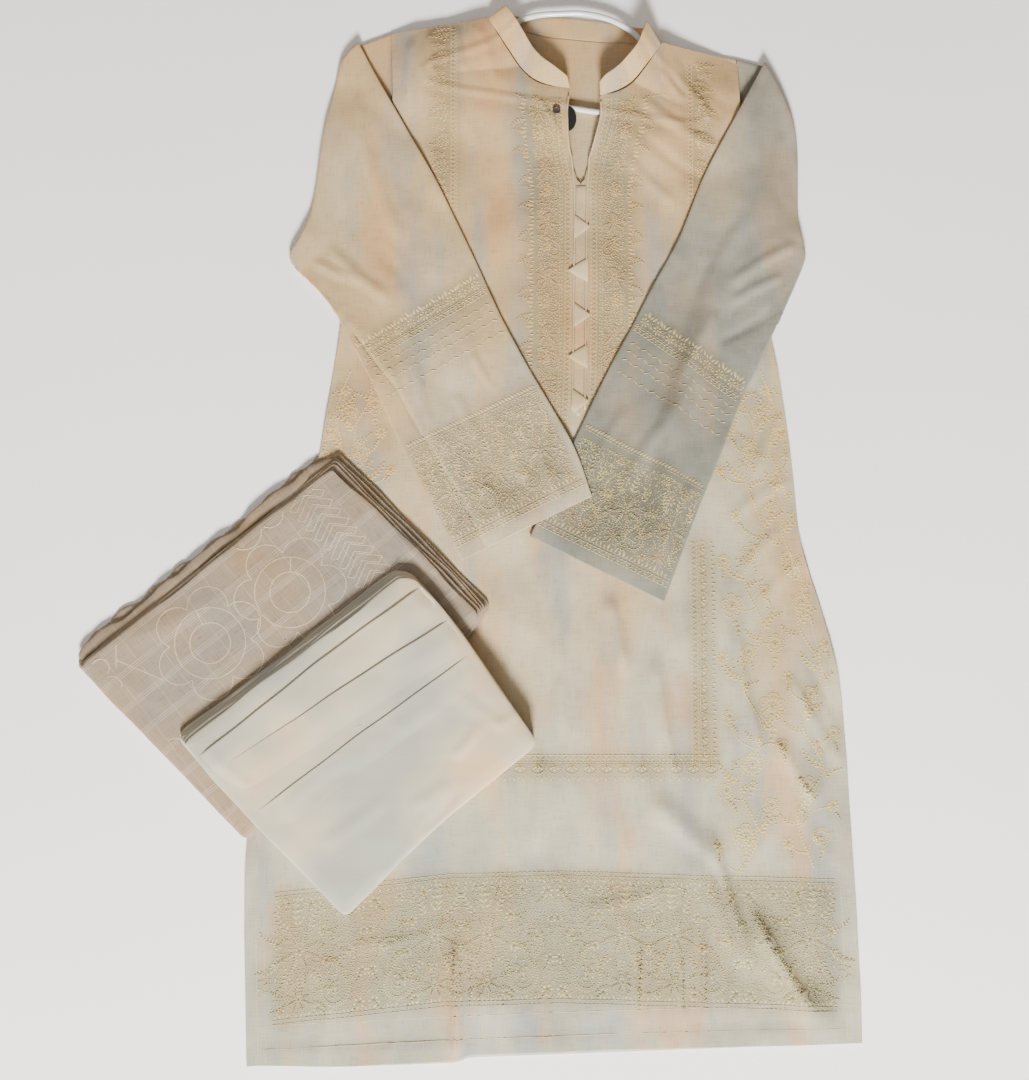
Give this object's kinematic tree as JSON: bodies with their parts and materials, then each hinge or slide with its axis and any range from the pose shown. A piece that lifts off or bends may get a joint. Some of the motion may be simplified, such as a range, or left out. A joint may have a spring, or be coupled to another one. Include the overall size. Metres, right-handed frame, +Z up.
{
  "type": "salwar kameez suit",
  "caption": "Salwar kameez suit laid flat: long tunic with stand collar and crossed sleeves on a hanger, with a folded scarf and folded trousers.",
  "frame": {"origin": "middle of the laid-out suit's box, on the surface that it lies on", "axes": "+Y from hem to collar, +X across the garment to the right as seen from above, +Z up from the surface"},
  "size_m": [0.768, 1.0604, 0.029],
  "materials": {
    "kameez_cotton": "matt woven cotton, cream, with embroidery",
    "piping": "pale bias-cut cotton",
    "dupatta_organza": "sheer checked organza",
    "salwar_cotton": "plain pressed cotton",
    "button": "dark polished button",
    "label": "black woven tape, bare",
    "hanger": "glossy white moulded plastic"
  },
  "bodies": {
    "root": {"back": "kameez_cotton", "front": "kameez_cotton", "sleeve_left": "kameez_cotton", "sleeve_right": "kameez_cotton", "collar": "kameez_cotton", "placket": "kameez_cotton", "piping_left": "piping", "piping_right": "piping", "tab_1": "piping", "tab_2": "piping", "tab_3": "piping", "tab_4": "piping", "tab_5": "piping", "button": "button", "label": "label", "hanger": "hanger", "dupatta": "dupatta_organza", "salwar": "salwar_cotton"}
  },
  "joints": []
}
